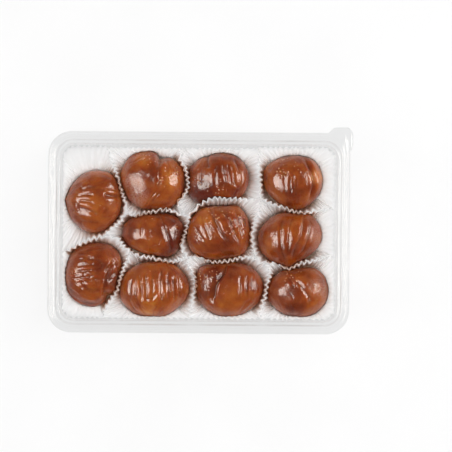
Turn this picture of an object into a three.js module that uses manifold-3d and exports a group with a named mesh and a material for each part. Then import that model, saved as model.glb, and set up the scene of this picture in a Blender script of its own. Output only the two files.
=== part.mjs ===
// A clear, open plastic tray that holds eleven candied chestnuts, each in a fluted white paper case.
// Millimetres, +Z up, +X along the tray's long side. The origin is the middle of the tray's underside.
import * as THREE from "three";
import { mergeVertices } from "three/addons/utils/BufferGeometryUtils.js";
import Module from "manifold-3d";

// ---------------------------------------------------------------- the tray's driving dimensions
const TRAY_LENGTH = 165; // over the rim, along X
const TRAY_WIDTH = 110; // over the rim, along Y
const TRAY_HEIGHT = 33; // from the underside to the top of the rim
const SHEET = 0.8; // the moulded sheet
const RIM_CORNER = 13; // radius of the rim's corners, outside
const CORNER_LOSS = 0.8; // how much a corner's radius falls for each millimetre further in
const LIP_DROP = 3; // the rim's edge is turned down by this much
const LIP_LEAN = 1.2; // and leans out by this much
const FLANGE_EDGE = 4.4; // the flat rim ends this far in
const STEP_DROP = 4.4; // a step down to the ledge that a lid would sit on
const STEP_LEAN = 0.6;
const LEDGE_EDGE = 6.3; // the ledge ends this far in
const WALL_TOP = 6.8; // the side wall starts this far in
const WALL_FOOT = 8.2; // and ends this far in
const FLOOR_EDGE = 9.4; // the flat floor starts this far in
const ROUND = 1.2; // height of the soft bends between wall, ledge and floor
const CORNER_STEPS = 5; // straight pieces in one rounded corner

// The lifting tab at the rim's corner at +X, +Y.
const TAB_LENGTH_X = 12; // along the long side
const TAB_LENGTH_Y = 9.5; // along the short side
const TAB_OUT_X = 1.4; // how far it stands out past the short side
const TAB_OUT_Y = 3; // how far it stands out past the long side
const TAB_LAP = 2.4; // how far it runs back over the rim
const TAB_SLANT = 3; // its sloping edges run this far along the rim

// ---------------------------------------------------------------- the paper cases
const PIECE_GAP = 0.3; // clearance between pieces that touch
const CASE_WALL = 0.4; // the fluted paper wall, measured outwards
const CASE_FLOOR = 0.4;
const CASE_HEIGHT = 18.5;
const CASE_BASE_SHARE = 0.76; // size of the flat bottom against the full spread
const CASE_BEND = 9; // height at which the wall turns upright
const FLUTES = 22;
const FLUTE_DEPTH = 1.3; // at the rim, where there is room for it
const FLUTE_DEPTH_BASE = 0.4;
const CASE_SPREAD = 34; // no case spreads further than this from its middle
const CASE_EDGE_WAVE = 0.7; // how uneven a case's upper edge is
const CORNER_SOFTNESS = 18; // a higher power makes the corners of a pressed case sharper

// ---------------------------------------------------------------- the chestnuts
const NUT_SIDES = 20;
const NUT_RINGS = 8; // bands from the bottom to the top
const NUT_BELLY = 0.5; // the widest level, as a share of the height
const NUT_FULLNESS = 0.88; // under 1, the chestnut is fuller than an ellipsoid
const FURROW_HALF_WIDTH = 3.2;

// Each chestnut: its middle in plan, its height, how light it is from 0 to 1, and how far it reaches
// from its middle towards 0, 45, 90 ... 315 degrees. Its marks are tips (out) and notches (in),
// each as bearing in degrees, height in millimetres and half-width in degrees. Its furrow is the
// deepest fold over its top, as two points measured from its middle and a depth.
const CHESTNUTS = [
  { at: [-58.6, 17.0], height: 24, light: 0.4, reach: [16.3, 18.0, 16.8, 14.8, 14.9, 15.3, 17.6, 16.9],
    marks: [[176, 1.0, 8]], furrow: [[4, 3], [16, 2], 1.2] },
  { at: [-25.0, 29.0], height: 24.5, light: 0.45, reach: [18.2, 15.7, 15.6, 18.3, 18.6, 17.6, 17.2, 18.2],
    marks: [[70, -3.0, 12]], furrow: [[5, 14], [-2, -14], 2.2] },
  { at: [10.0, 29.0], height: 23, light: 0.3, reach: [17.2, 17.0, 15.0, 15.6, 17.6, 17.4, 14.8, 15.6],
    marks: [[116, -1.2, 8]], furrow: [[-6, 13], [-4, 4], 1] },
  { at: [51.3, 27.9], height: 24, light: 0.5, reach: [16.7, 16.9, 15.1, 15.8, 16.2, 13.9, 14.9, 15.5],
    marks: [[152, 1.4, 12], [277, 0.7, 9]], furrow: [[11, 11], [11, -8], 1.6] },
  { at: [-25.3, -1.4], height: 22.5, light: 0.7, reach: [16.9, 16.2, 11.8, 14.6, 17.2, 12.4, 11.3, 15.4],
    marks: [[20, 1.0, 12]], furrow: [[6, 10], [9, -9], 2] },
  { at: [10.6, 0.8], height: 25, light: 0.5, reach: [17.8, 18.0, 16.2, 16.0, 16.8, 17.9, 15.6, 18.8],
    marks: [[108, -1.0, 9], [204, 0.9, 12]], furrow: [[-5, 13], [7, -7], 1.8] },
  { at: [49.9, -3.3], height: 24.5, light: 0.45, reach: [17.5, 17.9, 15.1, 16.2, 17.6, 15.9, 14.1, 13.6],
    marks: [[266, 2.4, 9], [70, -1.3, 10]], furrow: [[5, 13], [3, 2], 1.2] },
  { at: [-58.6, -23.2], height: 23.5, light: 0.25, reach: [15.9, 19.0, 17.3, 16.1, 15.1, 16.8, 18.0, 16.2],
    marks: [[172, 0.6, 6], [308, -1.4, 7]], furrow: [[9, -12], [12, 6], 2] },
  { at: [-24.5, -31.2], height: 25, light: 0.85, reach: [19.7, 18.0, 15.1, 16.8, 19.7, 17.6, 15.9, 16.5],
    marks: [], furrow: [[6, 12], [5, -12], 1] },
  { at: [17.1, -31.2], height: 24.5, light: 0.55, reach: [18.8, 17.3, 15.0, 18.8, 19.0, 16.6, 15.1, 16.0],
    marks: [[146, 1.4, 10], [102, -1.0, 6]], furrow: [[-3, 14], [-8, 1], 2.6] },
  { at: [54.9, -32.0], height: 23.5, light: 0.6, reach: [17.0, 16.5, 13.8, 14.9, 17.3, 15.0, 14.3, 15.6],
    marks: [[118, -0.9, 9]], furrow: [[0, 5], [6, -8], 1.4] },
];

const FULL_TURN = 2 * Math.PI;
const wrap = (angle) => Math.atan2(Math.sin(angle), Math.cos(angle));

// A closed surface through rings of points that run anticlockwise seen from above. The rings go from
// the middle of the underside, up the outside and, for a hollow thing, back down the inside.
function skin(rings) {
  const sides = rings[0].length;
  const middle = (ring) => ring.reduce((sum, p) => sum.add(p), new THREE.Vector3()).divideScalar(sides);
  const points = [...rings.flat(), middle(rings[0]), middle(rings.at(-1))];
  const bottom = points.length - 2;
  const top = points.length - 1;
  const lastRing = (rings.length - 1) * sides;
  const faces = [];
  for (let i = 0; i < sides; i++) {
    const next = (i + 1) % sides;
    faces.push(bottom, next, i);
    faces.push(top, lastRing + i, lastRing + next);
    for (let level = 0; level < lastRing; level += sides) {
      const above = level + sides;
      faces.push(level + i, level + next, above + next);
      faces.push(level + i, above + next, above + i);
    }
  }
  const geometry = new THREE.BufferGeometry().setFromPoints(points);
  geometry.setIndex(faces);
  geometry.computeVertexNormals();
  return geometry;
}

// ---------------------------------------------------------------- tray

// A rounded rectangle that lies the given distance inside the rim's outline, at height z.
function trayRing(inset, z) {
  const radius = RIM_CORNER - CORNER_LOSS * inset;
  const straightX = TRAY_LENGTH / 2 - inset - radius;
  const straightY = TRAY_WIDTH / 2 - inset - radius;
  const ring = [];
  for (let corner = 0; corner < 4; corner++) {
    const signX = corner === 0 || corner === 3 ? 1 : -1;
    const signY = corner < 2 ? 1 : -1;
    for (let step = 0; step <= CORNER_STEPS; step++) {
      const angle = (corner + step / CORNER_STEPS) * (Math.PI / 2);
      const x = signX * straightX + radius * Math.cos(angle);
      const y = signY * straightY + radius * Math.sin(angle);
      ring.push(new THREE.Vector3(x, y, z));
    }
  }
  return ring;
}

function trayShell() {
  const ledge = TRAY_HEIGHT - STEP_DROP;
  const lipFoot = TRAY_HEIGHT - LIP_DROP;
  const bend = SHEET / 2;
  const outside = [
    [FLOOR_EDGE, 0],
    [WALL_FOOT - SHEET, ROUND],
    [WALL_TOP - SHEET, ledge - SHEET - ROUND / 2],
    [LEDGE_EDGE - SHEET, ledge - SHEET],
    [FLANGE_EDGE + STEP_LEAN - SHEET, ledge - SHEET],
    [FLANGE_EDGE - SHEET, TRAY_HEIGHT - SHEET],
    [LIP_LEAN + SHEET, TRAY_HEIGHT - SHEET],
    [SHEET, lipFoot],
  ];
  const inside = [
    [0, lipFoot],
    [bend, TRAY_HEIGHT - bend],
    [LIP_LEAN, TRAY_HEIGHT],
    [FLANGE_EDGE, TRAY_HEIGHT],
    [FLANGE_EDGE + STEP_LEAN, ledge],
    [LEDGE_EDGE, ledge],
    [WALL_TOP, ledge - ROUND],
    [WALL_FOOT, SHEET + ROUND],
    [FLOOR_EDGE, SHEET],
  ];
  return skin([...outside, ...inside].map(([inset, z]) => trayRing(inset, z)));
}

// The tab continues the flat rim and squares off its rounded corner.
function trayTab() {
  const right = TRAY_LENGTH / 2;
  const back = TRAY_WIDTH / 2;
  const startX = right - TAB_LENGTH_X;
  const startY = back - TAB_LENGTH_Y;
  const outline = new THREE.Shape();
  outline.moveTo(startX, back - TAB_LAP);
  outline.quadraticCurveTo(right - TAB_LAP, back - TAB_LAP, right - TAB_LAP, startY);
  outline.lineTo(right + TAB_OUT_X / 2, startY);
  outline.lineTo(right + TAB_OUT_X, startY + TAB_SLANT);
  outline.lineTo(right + TAB_OUT_X, back);
  outline.lineTo(right - TAB_OUT_X / 2, back + TAB_OUT_Y);
  outline.lineTo(startX + TAB_SLANT, back + TAB_OUT_Y);
  outline.closePath();
  const plate = new THREE.ExtrudeGeometry(outline, { depth: SHEET, bevelEnabled: false, curveSegments: 4 });
  plate.translate(0, 0, TRAY_HEIGHT - SHEET);
  return plate;
}

// One closed surface around several closed surfaces that overlap.
function join(geometries, wasm) {
  const toSolid = (geometry) => {
    geometry.deleteAttribute("normal");
    geometry.deleteAttribute("uv");
    const merged = mergeVertices(geometry, 1e-4);
    const vertProperties = new Float32Array(merged.attributes.position.array);
    const triVerts = new Uint32Array(merged.index.array);
    return new wasm.Manifold(new wasm.Mesh({ numProp: 3, vertProperties, triVerts }));
  };
  const whole = geometries.map(toSolid).reduce((a, b) => a.add(b));
  const mesh = whole.getMesh();
  const geometry = new THREE.BufferGeometry();
  geometry.setAttribute("position", new THREE.BufferAttribute(mesh.vertProperties, 3));
  geometry.setIndex(new THREE.BufferAttribute(mesh.triVerts, 1));
  geometry.computeVertexNormals();
  return geometry;
}

// ---------------------------------------------------------------- the space of each chestnut

// The value at a share of the way round a smooth closed curve through evenly spaced values.
function roundCurve(values, share) {
  const count = values.length;
  const place = THREE.MathUtils.euclideanModulo(share * count, count);
  const first = Math.floor(place);
  const t = place - first;
  const [before, start, end, after] = [-1, 0, 1, 2].map((k) => values[(first + k + count) % count]);
  const rise = (end - before) / 2;
  const nextRise = (after - start) / 2;
  const bend = 3 * (end - start) - 2 * rise - nextRise;
  const twist = 2 * (start - end) + rise + nextRise;
  return start + t * (rise + t * (bend + t * twist));
}

// How far a chestnut's outline reaches from its middle, seen from above, with its tips and notches.
function outlineReach(nut, bearing) {
  let reach = roundCurve(nut.reach, bearing / FULL_TURN);
  for (const [markBearing, height, halfWidth] of nut.marks) {
    const off = wrap(bearing - THREE.MathUtils.degToRad(markBearing));
    reach += height * Math.exp(-((off / THREE.MathUtils.degToRad(halfWidth)) ** 2));
  }
  return reach;
}

// How far a straight edge that faces the given way and touches the outline lies from the middle.
function reachTowards(nut, way) {
  const bearings = Array.from({ length: NUT_SIDES }, (_, side) => (side / NUT_SIDES) * FULL_TURN);
  const facing = (bearing) => way.x * Math.cos(bearing) + way.y * Math.sin(bearing);
  return Math.max(...bearings.map((bearing) => outlineReach(nut, bearing) * facing(bearing)));
}

// How far the border with another chestnut lies from a chestnut's middle: halfway between them.
function halfway(nut, other) {
  const way = new THREE.Vector2(other.at[0] - nut.at[0], other.at[1] - nut.at[1]);
  const apart = way.length();
  way.normalize();
  return (reachTowards(nut, way) + apart - reachTowards(other, way.negate())) / 2;
}

// How far the tray's wall lies inside the rim's outline at height z.
function wallInset(z) {
  const top = TRAY_HEIGHT - STEP_DROP - ROUND;
  const foot = SHEET + ROUND;
  return THREE.MathUtils.mapLinear(z, foot, top, WALL_FOOT, WALL_TOP);
}

// The upright planes around one chestnut's space at height z, each as its outward direction and its
// distance from the chestnut's middle: one towards every other chestnut and one along each wall.
function planesAround(nut, z) {
  const [x, y] = nut.at;
  const planes = [];
  for (const other of CHESTNUTS) {
    if (other === nut) continue;
    const way = new THREE.Vector2(other.at[0] - x, other.at[1] - y).normalize();
    planes.push({ way, distance: halfway(nut, other) - PIECE_GAP / 2 });
  }
  const inset = wallInset(z) + PIECE_GAP;
  const radius = RIM_CORNER - CORNER_LOSS * inset;
  const halfX = TRAY_LENGTH / 2 - inset;
  const halfY = TRAY_WIDTH / 2 - inset;
  for (let eighth = 0; eighth < 8; eighth++) {
    const way = new THREE.Vector2(Math.cos((eighth * Math.PI) / 4), Math.sin((eighth * Math.PI) / 4));
    const reach = Math.abs(way.x) * (halfX - radius) + Math.abs(way.y) * (halfY - radius) + radius;
    planes.push({ way, distance: reach - way.x * x - way.y * y });
  }
  return planes;
}

// How far the space reaches from the chestnut's middle, with softly rounded corners.
function spaceReach(nut, bearing, z) {
  const way = new THREE.Vector2(Math.cos(bearing), Math.sin(bearing));
  let sum = CASE_SPREAD ** -CORNER_SOFTNESS;
  for (const plane of planesAround(nut, z)) {
    const facing = way.dot(plane.way);
    if (facing > 0) sum += (facing / plane.distance) ** CORNER_SOFTNESS;
  }
  return sum ** (-1 / CORNER_SOFTNESS);
}

// ---------------------------------------------------------------- chestnut

const NUT_BOTTOM = SHEET + PIECE_GAP + CASE_FLOOR + PIECE_GAP;
const bellyHeight = (nut) => NUT_BOTTOM + nut.height * NUT_BELLY;

// The outline, kept clear of the paper case around it.
function nutReach(nut, bearing) {
  const room = spaceReach(nut, bearing, bellyHeight(nut)) - CASE_WALL - PIECE_GAP;
  return Math.min(outlineReach(nut, bearing), room);
}

// How deep the chestnut's furrow is at a point measured from its middle.
function furrowDepth(nut, x, y) {
  const [from, to, depth] = nut.furrow;
  const line = new THREE.Line3(new THREE.Vector3(...from, 0), new THREE.Vector3(...to, 0));
  const point = new THREE.Vector3(x, y, 0);
  const nearest = line.closestPointToPoint(point, true, new THREE.Vector3());
  return depth * Math.exp(-((point.distanceTo(nearest) / FURROW_HALF_WIDTH) ** 2));
}

function chestnutBody(nut) {
  const rings = [];
  for (let level = 1; level < NUT_RINGS; level++) {
    const tilt = (level / NUT_RINGS - 0.5) * Math.PI;
    const spread = Math.cos(tilt) ** NUT_FULLNESS;
    const rise = Math.sin(tilt) * nut.height * (tilt < 0 ? NUT_BELLY : 1 - NUT_BELLY);
    const ring = [];
    for (let side = 0; side < NUT_SIDES; side++) {
      const bearing = (side / NUT_SIDES) * FULL_TURN;
      const reach = nutReach(nut, bearing) * spread;
      const x = reach * Math.cos(bearing);
      const y = reach * Math.sin(bearing);
      const dip = tilt > 0 ? furrowDepth(nut, x, y) : 0;
      ring.push(new THREE.Vector3(nut.at[0] + x, nut.at[1] + y, bellyHeight(nut) + rise - dip));
    }
    rings.push(ring);
  }
  const body = skin(rings);
  // The last two points are the middles of the end rings: they become the bottom and the top.
  const position = body.attributes.position;
  position.setZ(position.count - 2, NUT_BOTTOM);
  position.setZ(position.count - 1, NUT_BOTTOM + nut.height - furrowDepth(nut, 0, 0));
  body.computeVertexNormals();
  return body;
}

// ---------------------------------------------------------------- paper case

// One ring of the fluted paper: its points swing in and out, but never into the chestnut. A level has
// its height, the share of the space that it fills, how deep its flutes are and how uneven its edge
// is. The inner face lies the paper's thickness inside the outer one.
function caseRing(nut, index, level, thickness) {
  const ring = [];
  for (let point = 0; point < 2 * FLUTES; point++) {
    const bearing = (point / (2 * FLUTES)) * FULL_TURN;
    const ridge = spaceReach(nut, bearing, level.height) * level.share - CASE_WALL;
    const room = ridge - nutReach(nut, bearing) - PIECE_GAP;
    const swing = level.share < 1 ? level.flute : THREE.MathUtils.clamp(room, 0, level.flute);
    const reach = ridge - (point % 2) * swing + thickness;
    const wave = Math.sin(2 * bearing + index) + Math.sin(5 * bearing + 2 * index) / 2;
    const x = nut.at[0] + reach * Math.cos(bearing);
    const y = nut.at[1] + reach * Math.sin(bearing);
    ring.push(new THREE.Vector3(x, y, level.height + level.wave * wave));
  }
  return ring;
}

function paperCase(nut, index) {
  const underside = SHEET + PIECE_GAP;
  const base = { height: underside, share: CASE_BASE_SHARE, flute: FLUTE_DEPTH_BASE, wave: 0 };
  const bend = { height: CASE_BEND, share: 1, flute: FLUTE_DEPTH_BASE, wave: 0 };
  const rim = { height: CASE_HEIGHT, share: 1, flute: FLUTE_DEPTH, wave: CASE_EDGE_WAVE };
  const innerBase = { ...base, height: underside + CASE_FLOOR };
  const outer = [base, bend, rim].map((level) => caseRing(nut, index, level, CASE_WALL));
  const inner = [rim, bend, innerBase].map((level) => caseRing(nut, index, level, 0));
  return skin([...outer, ...inner]);
}

// ---------------------------------------------------------------- the whole part

const DARK_NUT = new THREE.Color(0x5a2210);
const LIGHT_NUT = new THREE.Color(0xa8622c);

function clearPlastic() {
  const finish = { color: 0xf2f4f4, roughness: 0.12, metalness: 0, transparent: true, opacity: 0.35 };
  return new THREE.MeshStandardMaterial(finish);
}

function whitePaper() {
  return new THREE.MeshStandardMaterial({ color: 0xf0ece6, roughness: 0.85, metalness: 0 });
}

function glazedNut(light) {
  const color = DARK_NUT.clone().lerp(LIGHT_NUT, light);
  return new THREE.MeshStandardMaterial({ color, roughness: 0.3, metalness: 0 });
}

function named(name, geometry, material) {
  const mesh = new THREE.Mesh(geometry, material);
  mesh.name = name;
  return mesh;
}

const wasm = await Module();
wasm.setup();

const part = new THREE.Group();
part.add(named("tray", join([trayShell(), trayTab()], wasm), clearPlastic()));
CHESTNUTS.forEach((nut, index) => {
  part.add(named(`case_${index + 1}`, paperCase(nut, index), whitePaper()));
  part.add(named(`chestnut_${index + 1}`, chestnutBody(nut), glazedNut(nut.light)));
});

export default part;
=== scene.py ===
import functools
import itertools
import math

import bpy
import numpy as np
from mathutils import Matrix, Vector


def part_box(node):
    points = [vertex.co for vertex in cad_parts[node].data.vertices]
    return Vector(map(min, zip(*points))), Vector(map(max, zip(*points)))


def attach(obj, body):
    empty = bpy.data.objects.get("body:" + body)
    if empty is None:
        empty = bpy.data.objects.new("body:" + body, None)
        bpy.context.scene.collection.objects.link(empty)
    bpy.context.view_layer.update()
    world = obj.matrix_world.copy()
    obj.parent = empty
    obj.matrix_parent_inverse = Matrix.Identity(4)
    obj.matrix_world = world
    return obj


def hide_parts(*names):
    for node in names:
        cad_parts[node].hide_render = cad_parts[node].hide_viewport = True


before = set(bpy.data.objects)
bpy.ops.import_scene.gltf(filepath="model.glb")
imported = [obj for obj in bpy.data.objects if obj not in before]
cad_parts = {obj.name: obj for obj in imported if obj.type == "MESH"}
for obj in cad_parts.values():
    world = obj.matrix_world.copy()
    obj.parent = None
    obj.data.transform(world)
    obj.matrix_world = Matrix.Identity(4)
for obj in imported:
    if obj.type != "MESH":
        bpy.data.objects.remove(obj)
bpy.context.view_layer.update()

MM = 0.001

# ---- the view
IMAGE_SIDE = 452  # pixels
PIXEL = 0.5455  # one pixel on the rim's level
TRAY_MIDDLE_PIXEL = (198.65, 232.7)  # where the tray's middle is seen
VIEW_TURN = math.radians(0.45)  # how far the tray is seen turned clockwise
VIEW_RIGHT = (math.cos(VIEW_TURN), math.sin(VIEW_TURN))  # along the picture's width
VIEW_AXES = np.array([VIEW_RIGHT, (-VIEW_RIGHT[1], VIEW_RIGHT[0])]).T
VIEW_DISTANCE = 2200.0  # above the rim
VIEW_LIMIT = 10.0  # metres
SENSOR = 36.0

# ---- the light
LAMP_DISTANCE = 1000.0
# For each lamp: its angle from straight above, bearing, side and brightness, and whether it only gives
# surfaces their shine or only lights their bodies.
LAMPS = {
    "shine_left": (36, 184, 620, 9.6, "shine"),
    "shine_right": (58, 12, 480, 10.8, "shine"),
    "fill_left": (42, 184, 700, 1.2, "body"),
    "fill_right": (54, 12, 700, 2.6, "body"),
    "fill_top": (0, 0, 1200, 1.5, "body"),
    "low_left": (74, 180, 500, 2.4, "body"),
    "low_right": (74, 0, 500, 2.4, "body"),
    "low_front": (74, 270, 500, 1.8, "body"),
    "low_back": (74, 90, 500, 1.8, "body"),
}
WARM = (1.0, 0.95, 0.89)  # the colour of the shine
TABLE_GLOW = 0.72  # the table is a lit panel
TABLE_HALF = 3000.0  # half its side
TABLE_LEVEL = -0.05  # just under the tray
SKY_HEIGHTS = (0.25, 0.50)  # up to the first sine are the studio's walls, from the second its ceiling
SKY_BRIGHTNESSES = (0.4, 0.16)  # of the walls and the ceiling
CLEAR_LAYERS = 24  # sheets of clear plastic that light may cross

# ---- the tray
TRAY_LOW, TRAY_HIGH = (np.array(corner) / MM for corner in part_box("tray"))
TRAY_LENGTH = -2 * TRAY_LOW[0]  # over the rim without the tab, along X
TRAY_WIDTH = -2 * TRAY_LOW[1]  # along Y
TRAY_HEIGHT = TRAY_HIGH[2]
SHEET = 0.36  # the moulded sheet
RIM_CORNER = 13.0  # radius of the rim's corners, outside
CORNER_LOSS = 0.8  # a corner's radius falls this much for each millimetre further in
LEDGE_DROP = 4.6
WALL_TOP_INSET = 6.8
WALL_FOOT_INSET = 8.2
WALL_FOOT_HEIGHT = 2.0
FLOOR_PANEL = 1.3  # top of the floor, with a low bead around it
BEND_CUT, BEND_STEPS = 0.5, 4  # how far a profile's corner is rounded, and in how many points
BEND_SHARE = 0.45  # at most this share of a stretch is rounded
CORNER_STEPS = 22
LONG_STEPS = 44
SHORT_STEPS = 28

# The lifting tab's outline beside the rim's corner at +X, +Y.
TAB_START = (70.5, TRAY_WIDTH / 2)
TAB_END = (TRAY_LENGTH / 2, 45.5)
TAB_OUTLINE = (
    TAB_START, (73.5, TRAY_HIGH[1]), (81.8, TRAY_HIGH[1]),
    (TRAY_HIGH[0], 54.8), (TRAY_HIGH[0], 48.5), (TRAY_LENGTH / 2 + 0.7, 45.5), TAB_END,
)
TAB_INSETS = (0.3, 4.2)  # up to the first inset the rim has the tab's full outline, from the second none
TAB_LIP = 1.5  # where the tab sticks out this far, the turned-down lip, up to this inset, is shallower
TAB_LIP_RISE = 0.75  # by this share

# ---- the paper cases
PAPER = 0.17  # thickness
FLUTE_PITCH = 3.0  # at the upper edge
CASE_POINTS = 430  # around a case
CASE_BOTTOM = 1.36  # its underside, just above the tray's floor
CASE_TOP = 18.5
CASE_BASE = (15.0, 13.0)  # radius of the flat bottom, towards a neighbour and a wall
CASE_BASE_SHARE = (0.84, 0.78)  # or this share of the space, if that is less
CASE_SPREAD = 34.0  # no case spreads further than this from its middle
CASE_SHARES = (0.0, 0.1, 0.22, 0.35, 0.5, 0.62, 0.72, 0.8, 0.87, 0.93, 0.97, 1.0)  # of a case's height
PAINTED_LIGHT_FADE = 14  # a higher power narrows the painted light on the upper edge
FLUTE_DEPTH = (2.3, 0.3)  # from ridge to valley, at the edge and at the bottom
OPENING = (0.6, 5.0)  # above 1 a case opens more towards its edge: at a neighbour and at the wall
LIP = 0.6  # a case's upper edge bends outwards by this much
LIP_SHORTNESS = 30  # a higher power shortens this lip
WALL_FLUTES = 0.5  # how deep they are along the tray's wall, as a share
FLUTE_FADE = 2.2  # a higher power fades the flutes sooner below the edge
EDGE_WAVES = ((9.0, 0.7, 8), (2.0, 0.42, 9))  # size, height and seed of the upper edge's unevenness
FLUTE_DRIFT = (5.0, 2.4, 5)  # the same for how the flutes drift from an even pitch
FLUTE_UNEVENNESS = (3.5, 0.35, 6)  # and for how their depth changes
FLUTE_SHARPNESS = 0.98  # 1 for a zigzag with sharp turns
BORDER_APART = 7.7  # steps in the noise that keep the flutes of two borders unlike
CASES_APART = 50.0  # and the edges of two cases
PAIR_KEY, WALL_KEY = 20, 1000  # steps between the borders' keys
CORNER_SOFTNESS = 60.0  # a higher power sharpens the corners of a pressed case
BORDER_STEPS = 721  # bearings at which a border is found
EDGE_STEPS = 1441  # bearings at which a case's upper edge is measured
BORDER_FAR = 90.0  # further than any border that matters
BORDER_HALVINGS = 16
FLATTEST = 0.05  # the least share at which a ray faces a wall
TOUCH = 0.12  # clearance between papers, and to the plastic
SLACK = 0.06  # clearance between a chestnut and its paper
TIGHT = 6.0  # a case this far off its chestnut is hardly pressed against it any more
STEEP = 8.0  # and one this far off is hardly steeper than elsewhere
PRESSED_SHARES = (1.0, 0.2)  # how far a case can be pressed, at a neighbour and at the wall
STEEP_SHARES = (1.0, 0.3)  # how far a close and a loose case keep their steepness at a neighbour
STAIN_AND_SHADE_SHARES = (1.0, 0.1)  # how dark the syrup stain, with its painted shade, is on a pressed and a loose case
PAINTED_SHADE_SHARES = (1.0, 0.35)  # how dark the painted shade low on a pressed and a loose case is
STAIN_AND_SHADE_REACH = 2.6  # how far the syrup stain and its painted shade reach on the paper around a chestnut
FLESH_LEAST = 3.0  # at a height where a chestnut reaches less far, it isn't there
PROFILE_TURNS, PROFILE_LEVELS, PROFILE_STEP = 180, 54, 0.5  # how finely a chestnut's reach is read

# ---- the chestnuts
BALL_STEPS = 68  # faces along each edge of the cube that a chestnut is blown up from
NUT_FULLNESS = 0.88  # under 1, a chestnut is fuller than an ellipsoid
NUT_SIDES = 20  # corners of the frame's outline of a chestnut
NUT_REST = 1.52  # the level a chestnut rests on
NUT_SWELL = 0.1  # how far outside those corners the fine outline lies
LEVEL_SLACK = 0.02  # points this near the belly belong to it
NUB_WIDTH, NUB_HEIGHT = math.radians(6), 0.25  # half-widths of a tip, around and up
UPPER_SIDE = (-0.35, 0.05)  # folds and patches fade in between these levels, from -1 below to 1 on top
CALM_BELLY = (0.3, 0.6)  # near the belly's level the relief is weaker: how near, and by how much


def fold(*line, deep=0.5, wide=0.7, step=0.0):
    """A fold over a chestnut's top, along points measured from its middle. A positive step raises the
    ground on the left of someone who walks along the line."""
    return {"line": line, "deep": deep, "wide": wide, "step": step}
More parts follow.
